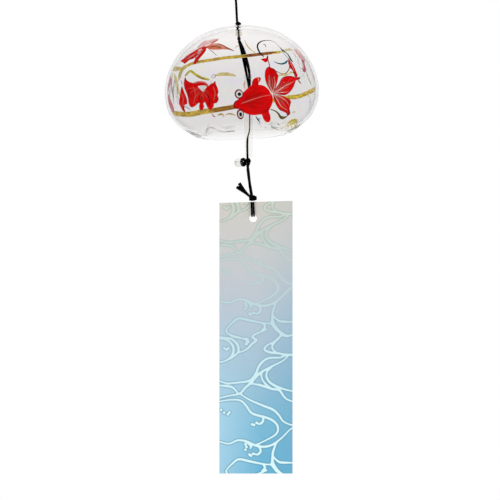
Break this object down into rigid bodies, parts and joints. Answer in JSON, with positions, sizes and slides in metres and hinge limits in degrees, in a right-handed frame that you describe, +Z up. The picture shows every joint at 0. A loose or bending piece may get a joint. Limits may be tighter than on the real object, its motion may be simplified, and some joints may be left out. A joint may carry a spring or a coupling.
{
  "type": "wind bell",
  "caption": "Blown glass wind bell on a black cord, with a glass tube clapper on a knotted cord and a tall paper strip that catches the wind.",
  "frame": {"origin": "inside of the hanging loop at its top, where the hook bears", "axes": "+Z up along the hanging cord, +X to the viewer's right, the front faces -Y, with the strip's plane across Y"},
  "size_m": [0.08, 0.08, 0.2981],
  "materials": {
    "clear_glass": "polished, blown, a little uneven",
    "tube_glass": "polished drawn tube",
    "clear_bead": "polished",
    "black_cord": "twisted cotton cord, matte",
    "red_enamel": "brushed enamel paint",
    "orange_enamel": "thin brushed enamel paint",
    "gold_enamel": "brushed gold paint",
    "dark_enamel": "brushed dark teal paint",
    "printed_paper": "stiff matte paper"
  },
  "bodies": {
    "hanging_loop": {"hanging_loop": "black_cord"},
    "loop_knot": {"loop_knot": "black_cord"},
    "upper_cord": {"upper_cord": "black_cord", "upper_knot": "black_cord", "neck_cord": "black_cord"},
    "stop_bead": {"stop_bead": "clear_bead"},
    "glass_bell": {"glass_bell": "clear_glass", "front_goldfish": "red_enamel", "left_goldfish": "red_enamel", "top_leaves": "orange_enamel", "gold_bands": "gold_enamel", "brush_ripples": "dark_enamel"},
    "stop_knot": {"stop_knot": "black_cord"},
    "clapper_cord": {"clapper_cord": "black_cord", "stopper_knot": "black_cord", "glass_bead": "clear_bead", "bead_loop": "black_cord"},
    "clapper_tube": {"clapper_tube": "tube_glass"},
    "lower_cord": {"lower_cord": "black_cord"},
    "strip_knot": {"strip_knot": "black_cord", "cord_ends": "black_cord"},
    "strip_loop": {"strip_loop": "black_cord"},
    "paper_strip": {"paper_strip": "printed_paper"}
  },
  "joints": [
    {"name": "cord_swing_side", "type": "hinge", "parent": "hanging_loop", "child": "loop_knot", "pos_m": [-0.0005, 0, -0.033], "axis": [0, 1, 0], "range_deg": [-30, 30]},
    {"name": "cord_swing_fore", "type": "hinge", "parent": "loop_knot", "child": "upper_cord", "pos_m": [-0.0005, 0, -0.033], "axis": [1, 0, 0], "range_deg": [-30, 30]},
    {"name": "bell_rock", "type": "hinge", "parent": "upper_cord", "child": "stop_bead", "pos_m": [0, 0, -0.06725], "axis": [0, 1, 0], "range_deg": [-5, 5]},
    {"name": "bell_turn", "type": "hinge", "parent": "stop_bead", "child": "glass_bell", "pos_m": [0, 0, -0.06725], "axis": [0, 0, 1], "continuous": true},
    {"name": "clapper_turn", "type": "hinge", "parent": "upper_cord", "child": "stop_knot", "pos_m": [0, 0, -0.06995], "axis": [0, 0, 1], "continuous": true},
    {"name": "clapper_swing", "type": "hinge", "parent": "stop_knot", "child": "clapper_cord", "pos_m": [0, 0, -0.06995], "axis": [0, 1, 0], "range_deg": [-13.5, 19]},
    {"name": "tube_turn", "type": "hinge", "parent": "clapper_cord", "child": "clapper_tube", "pos_m": [0.00285, 0, -0.1107], "axis": [0.0441, 0, 0.999], "continuous": true},
    {"name": "lower_cord_swing", "type": "hinge", "parent": "clapper_cord", "child": "lower_cord", "pos_m": [0.0013, 0, -0.1362], "axis": [0, 1, 0], "range_deg": [-35, 35]},
    {"name": "strip_turn", "type": "hinge", "parent": "lower_cord", "child": "strip_knot", "pos_m": [0.00286, 0, -0.1534], "axis": [0, 0, 1], "continuous": true},
    {"name": "strip_swing", "type": "hinge", "parent": "strip_knot", "child": "strip_loop", "pos_m": [0.00286, 0, -0.1534], "axis": [1, 0, 0], "range_deg": [-60, 60]},
    {"name": "strip_rock", "type": "hinge", "parent": "strip_loop", "child": "paper_strip", "pos_m": [0.00245, 0, -0.1626], "axis": [0, 1, 0], "range_deg": [-8, 8]}
  ]
}
